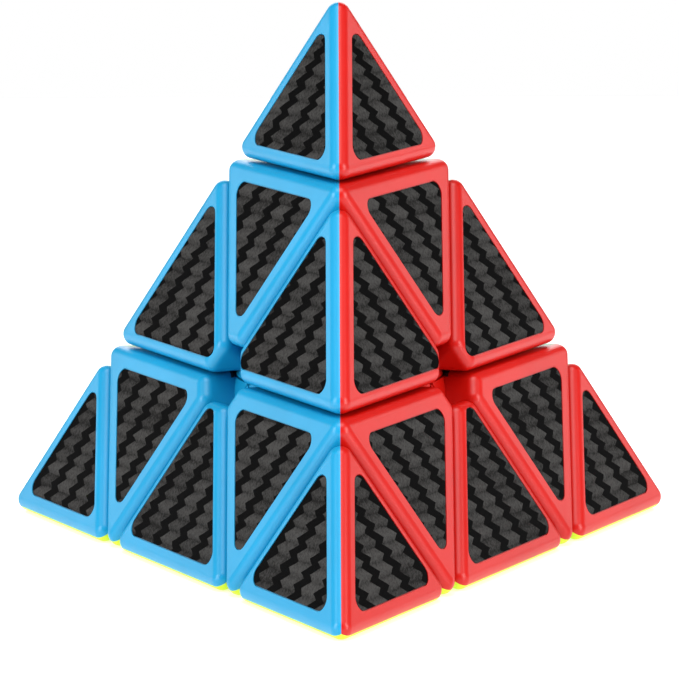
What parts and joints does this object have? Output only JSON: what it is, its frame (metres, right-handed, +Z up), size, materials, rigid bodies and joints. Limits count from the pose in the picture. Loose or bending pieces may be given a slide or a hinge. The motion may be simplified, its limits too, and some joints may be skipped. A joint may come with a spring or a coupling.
{
  "type": "pyramid twisty puzzle",
  "caption": "Tetrahedral twisty puzzle with turning corner layers and twisting tips, coloured shells and carbon-look film stickers.",
  "frame": {"origin": "centre of the core, where the four turning axes cross", "axes": "+Z up along the top tip's axis; -Y towards the front lower corner, so the blue face looks left and forward and the red face right and forward; the yellow face is the base"},
  "size_m": [0.098, 0.0853, 0.0806],
  "materials": {
    "blue_plastic": "satin-gloss moulded plastic, blue",
    "red_plastic": "satin-gloss moulded plastic, red",
    "green_plastic": "satin-gloss moulded plastic, green",
    "yellow_plastic": "satin-gloss moulded plastic, lime yellow",
    "carbon_film": "embossed carbon-look film",
    "hub_plastic": "moulded black plastic",
    "core_plastic": "moulded off-white plastic",
    "screw_steel": "zinc-plated",
    "washer_steel": "zinc-plated",
    "spring_steel": "drawn wire"
  },
  "bodies": {
    "core": {"core": "core_plastic", "axis_screws": "screw_steel", "screw_washers": "washer_steel", "tension_springs": "spring_steel"},
    "axial_top": {"axial_top_green": "green_plastic", "axial_top_blue": "blue_plastic", "axial_top_red": "red_plastic", "axial_top_hub": "hub_plastic", "axial_top_stickers": "carbon_film"},
    "tip_top": {"tip_top_green": "green_plastic", "tip_top_blue": "blue_plastic", "tip_top_red": "red_plastic", "tip_top_stickers": "carbon_film"},
    "axial_front": {"axial_front_yellow": "yellow_plastic", "axial_front_blue": "blue_plastic", "axial_front_red": "red_plastic", "axial_front_hub": "hub_plastic", "axial_front_stickers": "carbon_film"},
    "tip_front": {"tip_front_yellow": "yellow_plastic", "tip_front_blue": "blue_plastic", "tip_front_red": "red_plastic", "tip_front_stickers": "carbon_film"},
    "axial_right": {"axial_right_yellow": "yellow_plastic", "axial_right_green": "green_plastic", "axial_right_red": "red_plastic", "axial_right_hub": "hub_plastic", "axial_right_stickers": "carbon_film"},
    "tip_right": {"tip_right_yellow": "yellow_plastic", "tip_right_green": "green_plastic", "tip_right_red": "red_plastic", "tip_right_stickers": "carbon_film"},
    "axial_left": {"axial_left_yellow": "yellow_plastic", "axial_left_green": "green_plastic", "axial_left_blue": "blue_plastic", "axial_left_hub": "hub_plastic", "axial_left_stickers": "carbon_film"},
    "tip_left": {"tip_left_yellow": "yellow_plastic", "tip_left_green": "green_plastic", "tip_left_blue": "blue_plastic", "tip_left_stickers": "carbon_film"},
    "edge_top_front": {"edge_top_front_blue": "blue_plastic", "edge_top_front_red": "red_plastic", "edge_top_front_stickers": "carbon_film"},
    "edge_top_right": {"edge_top_right_green": "green_plastic", "edge_top_right_red": "red_plastic", "edge_top_right_stickers": "carbon_film"},
    "edge_top_left": {"edge_top_left_green": "green_plastic", "edge_top_left_blue": "blue_plastic", "edge_top_left_stickers": "carbon_film"},
    "edge_front_right": {"edge_front_right_yellow": "yellow_plastic", "edge_front_right_red": "red_plastic", "edge_front_right_stickers": "carbon_film"},
    "edge_front_left": {"edge_front_left_yellow": "yellow_plastic", "edge_front_left_blue": "blue_plastic", "edge_front_left_stickers": "carbon_film"},
    "edge_right_left": {"edge_right_left_yellow": "yellow_plastic", "edge_right_left_green": "green_plastic", "edge_right_left_stickers": "carbon_film"}
  },
  "joints": [
    {"name": "layer_top", "type": "hinge", "parent": "core", "child": "axial_top", "pos_m": [0, 0, 0], "axis": [0, 0, 1], "range_deg": [-240, 120]},
    {"name": "layer_front", "type": "hinge", "parent": "core", "child": "axial_front", "pos_m": [0, 0, 0], "axis": [0, -0.9428, -0.3333], "range_deg": [-240, 120]},
    {"name": "layer_right", "type": "hinge", "parent": "core", "child": "axial_right", "pos_m": [0, 0, 0], "axis": [0.8165, 0.4714, -0.3333], "range_deg": [-240, 120]},
    {"name": "layer_left", "type": "hinge", "parent": "core", "child": "axial_left", "pos_m": [0, 0, 0], "axis": [-0.8165, 0.4714, -0.3333], "range_deg": [-240, 120]},
    {"name": "tip_top_twist", "type": "hinge", "parent": "axial_top", "child": "tip_top", "pos_m": [0, 0, 0], "axis": [0, 0, 1], "continuous": true},
    {"name": "tip_front_twist", "type": "hinge", "parent": "axial_front", "child": "tip_front", "pos_m": [0, 0, 0], "axis": [0, -0.9428, -0.3333], "continuous": true},
    {"name": "tip_right_twist", "type": "hinge", "parent": "axial_right", "child": "tip_right", "pos_m": [0, 0, 0], "axis": [0.8165, 0.4714, -0.3333], "continuous": true},
    {"name": "tip_left_twist", "type": "hinge", "parent": "axial_left", "child": "tip_left", "pos_m": [0, 0, 0], "axis": [-0.8165, 0.4714, -0.3333], "continuous": true},
    {"name": "edge_top_front_turn", "type": "hinge", "parent": "axial_top", "child": "edge_top_front", "pos_m": [0, 0, 0], "axis": [0, -0.9428, -0.3333], "range_deg": [-240, 120]},
    {"name": "edge_top_right_turn", "type": "hinge", "parent": "axial_top", "child": "edge_top_right", "pos_m": [0, 0, 0], "axis": [0.8165, 0.4714, -0.3333], "range_deg": [-240, 120]},
    {"name": "edge_top_left_turn", "type": "hinge", "parent": "axial_top", "child": "edge_top_left", "pos_m": [0, 0, 0], "axis": [-0.8165, 0.4714, -0.3333], "range_deg": [-240, 120]},
    {"name": "edge_front_right_turn", "type": "hinge", "parent": "axial_front", "child": "edge_front_right", "pos_m": [0, 0, 0], "axis": [0.8165, 0.4714, -0.3333], "range_deg": [-240, 120]},
    {"name": "edge_front_left_turn", "type": "hinge", "parent": "axial_left", "child": "edge_front_left", "pos_m": [0, 0, 0], "axis": [0, -0.9428, -0.3333], "range_deg": [-240, 120]},
    {"name": "edge_right_left_turn", "type": "hinge", "parent": "axial_right", "child": "edge_right_left", "pos_m": [0, 0, 0], "axis": [-0.8165, 0.4714, -0.3333], "range_deg": [-240, 120]}
  ],
  "couplings": [
    {"joint": "edge_top_front_turn", "follows": "layer_front", "ratio": 1},
    {"joint": "edge_top_right_turn", "follows": "layer_right", "ratio": 1},
    {"joint": "edge_top_left_turn", "follows": "layer_left", "ratio": 1},
    {"joint": "edge_front_right_turn", "follows": "layer_right", "ratio": 1},
    {"joint": "edge_front_left_turn", "follows": "layer_front", "ratio": 1},
    {"joint": "edge_right_left_turn", "follows": "layer_left", "ratio": 1}
  ]
}
